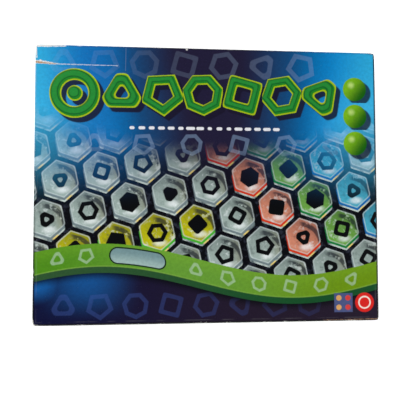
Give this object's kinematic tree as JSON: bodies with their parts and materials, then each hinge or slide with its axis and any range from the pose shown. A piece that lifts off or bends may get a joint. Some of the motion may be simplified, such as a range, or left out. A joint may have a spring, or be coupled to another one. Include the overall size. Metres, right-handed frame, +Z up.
{
  "type": "boxed rotating word game board",
  "caption": "Closed cardboard lid-and-base game box holding a spinning round word game board with clear lenses, a turning window ring, puzzle discs, a booklet and domed tokens.",
  "frame": {"origin": "middle of the closed box's underside", "axes": "+X along the box's length, +Y from the player's side to the back, +Z up through the lid"},
  "size_m": [0.3378, 0.2706, 0.061],
  "materials": {
    "lid_board": "matte greyboard",
    "lid_wrap": "satin varnished print",
    "lid_corner_stays": "matte brown paper tape",
    "base_board": "matte greyboard",
    "base_wrap": "satin varnished print",
    "base_underside": "satin varnished print",
    "base_corner_stays": "matte brown paper tape",
    "insert_tray": "smooth thermoformed sheet",
    "rulebook_pages": "matte paper",
    "rulebook_cover": "satin coated paper",
    "rulebook_staples": "drawn wire",
    "spare_puzzle_discs": "satin printed board",
    "board_foot": "fine moulded texture",
    "rubber_feet": "matte",
    "glide_pads": "smooth slippery plastic",
    "spindle_washer": "plated",
    "spindle_screw": "plated",
    "turntable_tray": "fine moulded texture",
    "puzzle_disc": "satin printed board",
    "lens_plate": "clear polished",
    "word_ring": "polished",
    "tokens_yellow": "clear tinted, polished",
    "tokens_red": "clear tinted, polished",
    "tokens_green": "clear tinted, polished",
    "tokens_blue": "clear tinted, polished"
  },
  "bodies": {
    "box_base": {"base_board": "base_board", "base_wrap": "base_wrap", "base_underside": "base_underside", "base_corner_stays": "base_corner_stays", "insert_tray": "insert_tray", "rulebook_pages": "rulebook_pages", "rulebook_cover": "rulebook_cover", "rulebook_staples": "rulebook_staples", "spare_puzzle_discs": "spare_puzzle_discs", "tokens_yellow": "tokens_yellow", "tokens_red": "tokens_red", "tokens_green": "tokens_green", "tokens_blue": "tokens_blue"},
    "game_board": {"board_foot": "board_foot", "rubber_feet": "rubber_feet", "glide_pads": "glide_pads", "spindle_washer": "spindle_washer", "spindle_screw": "spindle_screw"},
    "turntable": {"turntable_tray": "turntable_tray", "puzzle_disc": "puzzle_disc", "lens_plate": "lens_plate"},
    "word_ring": {"word_ring": "word_ring"},
    "lid": {"lid_board": "lid_board", "lid_wrap": "lid_wrap", "lid_corner_stays": "lid_corner_stays"}
  },
  "joints": [
    {"name": "board_lift", "type": "slide", "parent": "box_base", "child": "game_board", "axis": [0, 0, 1], "range_m": [0, 0.1]},
    {"name": "board_spin", "type": "hinge", "parent": "game_board", "child": "turntable", "pos_m": [-0.03349, 0, 0.04095], "axis": [0, 0, 1], "continuous": true},
    {"name": "ring_turn", "type": "hinge", "parent": "turntable", "child": "word_ring", "pos_m": [-0.03349, 0, 0.04095], "axis": [0, 0, 1], "continuous": true},
    {"name": "lid_lift", "type": "slide", "parent": "game_board", "child": "lid", "axis": [0, 0, 1], "range_m": [0, 0.12]}
  ]
}
